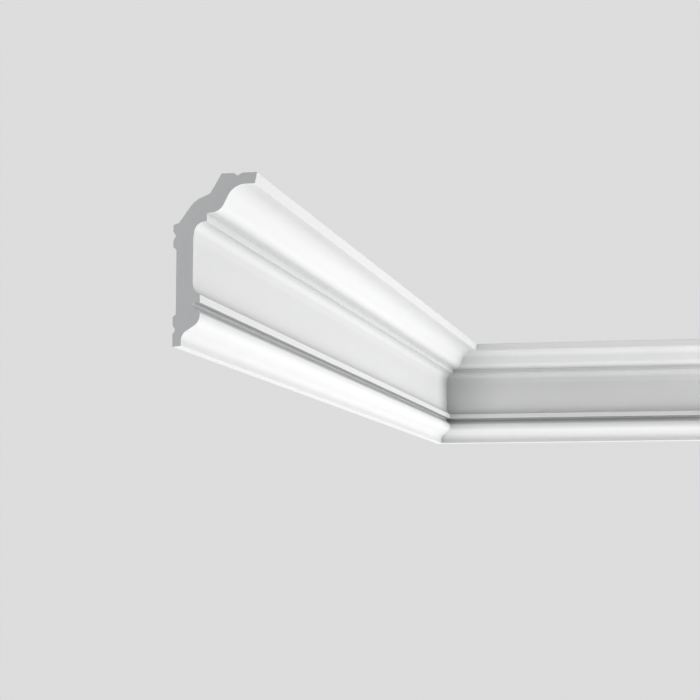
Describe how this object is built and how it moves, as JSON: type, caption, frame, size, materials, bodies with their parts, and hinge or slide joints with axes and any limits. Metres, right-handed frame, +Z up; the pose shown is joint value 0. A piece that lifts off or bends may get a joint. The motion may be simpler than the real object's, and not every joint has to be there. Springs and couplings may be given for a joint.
{
  "type": "cornice moulding",
  "caption": "Moulded white cornice with an ogee foot, plain frieze and coved crown, mitred at the inside corner where wall meets wall under a ceiling.",
  "frame": {"origin": "on the side wall's plane, at mid-length of the long length, in the middle of the flat strip of its lower bonding pad, 6 mm above the lower edge", "axes": "+X out from the side wall into the room, +Y along the long length towards the inside corner, +Z up; the ceiling is at Z = 0.164 m and the back wall at Y = 0.81 m"},
  "size_m": [0.475, 1.62, 0.17],
  "materials": {
    "white_primer": "smooth white primer, silky matt"
  },
  "bodies": {
    "root": {"side_wall_length": "white_primer", "back_wall_length": "white_primer"}
  },
  "joints": []
}
